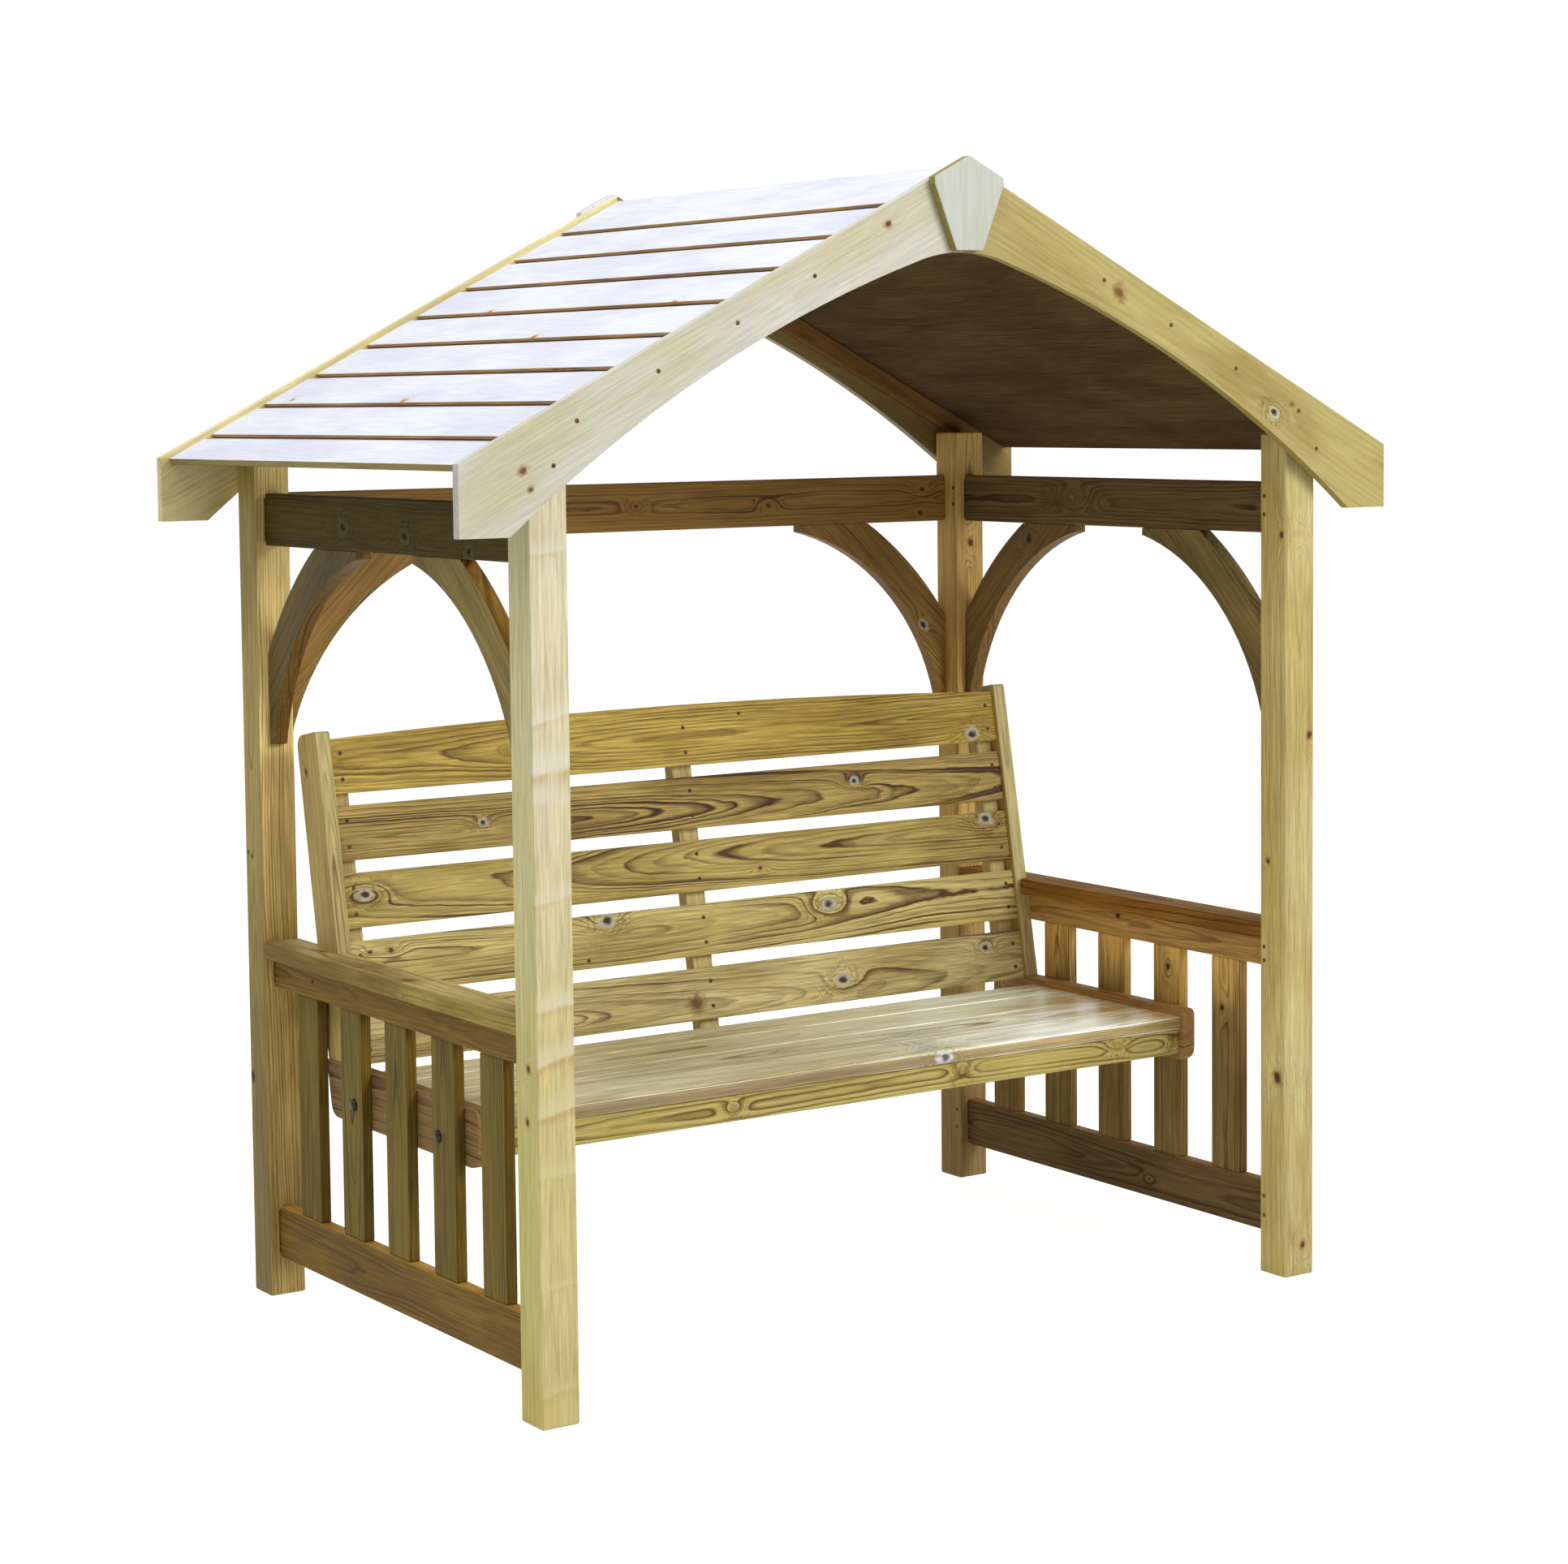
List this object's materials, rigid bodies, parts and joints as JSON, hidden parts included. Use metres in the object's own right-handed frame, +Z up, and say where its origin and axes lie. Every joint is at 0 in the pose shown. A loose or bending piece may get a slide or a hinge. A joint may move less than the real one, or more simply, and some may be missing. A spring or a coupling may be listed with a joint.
{
  "type": "arbour seat",
  "caption": "Wooden arbour seat: slatted bench with a leaning back between braced side frames, under a pitched board roof with arched bargeboards.",
  "frame": {"origin": "on the ground, at the middle of the plan", "axes": "+X to the right as seen from the front, +Y to the back, +Z up"},
  "size_m": [1.956, 1.1858, 2.0601],
  "materials": {
    "post_wood": "pressure-treated softwood, planed, pale cream and green",
    "frame_wood": "pressure-treated softwood, planed, olive tan",
    "seat_wood": "pressure-treated softwood, planed, worn grey on top",
    "slat_wood": "pressure-treated softwood, planed, golden olive with brown grain",
    "barge_wood": "pressure-treated softwood, planed, yellow tan",
    "roof_wood": "pressure-treated softwood boards, pale"
  },
  "bodies": {
    "root": {"post_front_left": "post_wood", "post_front_right": "post_wood", "post_back_left": "post_wood", "post_back_right": "post_wood", "top_rail_left": "frame_wood", "bottom_rail_left": "frame_wood", "arm_rail_left": "frame_wood", "arm_cap_left": "frame_wood", "top_rail_right": "frame_wood", "bottom_rail_right": "frame_wood", "arm_rail_right": "frame_wood", "arm_cap_right": "frame_wood", "top_rail_back": "frame_wood", "pale_left_1": "frame_wood", "pale_left_2": "frame_wood", "pale_left_3": "frame_wood", "pale_left_4": "frame_wood", "pale_left_5": "frame_wood", "pale_right_1": "frame_wood", "pale_right_2": "frame_wood", "pale_right_3": "frame_wood", "pale_right_4": "frame_wood", "pale_right_5": "frame_wood", "brace_left_front": "frame_wood", "brace_left_back": "frame_wood", "brace_back_left": "frame_wood", "brace_right_front": "frame_wood", "brace_right_back": "frame_wood", "brace_back_right": "frame_wood", "seat_bearer_left": "seat_wood", "seat_bearer_right": "seat_wood", "seat_bearer_middle": "seat_wood", "apron": "seat_wood", "seat_rail_back": "seat_wood", "seat_board_1": "seat_wood", "seat_board_2": "seat_wood", "seat_board_3": "seat_wood", "seat_board_4": "seat_wood", "back_stile_left": "frame_wood", "back_stile_right": "frame_wood", "back_stile_middle": "frame_wood", "back_cleat_left": "frame_wood", "back_cleat_right": "frame_wood", "back_slat_1": "slat_wood", "back_slat_2": "slat_wood", "back_slat_3": "slat_wood", "back_slat_4": "slat_wood", "back_slat_5": "slat_wood", "roof_batten_front_left": "frame_wood", "bargeboard_front_left": "barge_wood", "roof_batten_front_right": "frame_wood", "bargeboard_front_right": "barge_wood", "apex_plate_front": "barge_wood", "roof_batten_back_left": "frame_wood", "bargeboard_back_left": "barge_wood", "roof_batten_back_right": "frame_wood", "bargeboard_back_right": "barge_wood", "apex_plate_back": "barge_wood", "roof_boards_left": "roof_wood", "roof_boards_right": "roof_wood"}
  },
  "joints": []
}
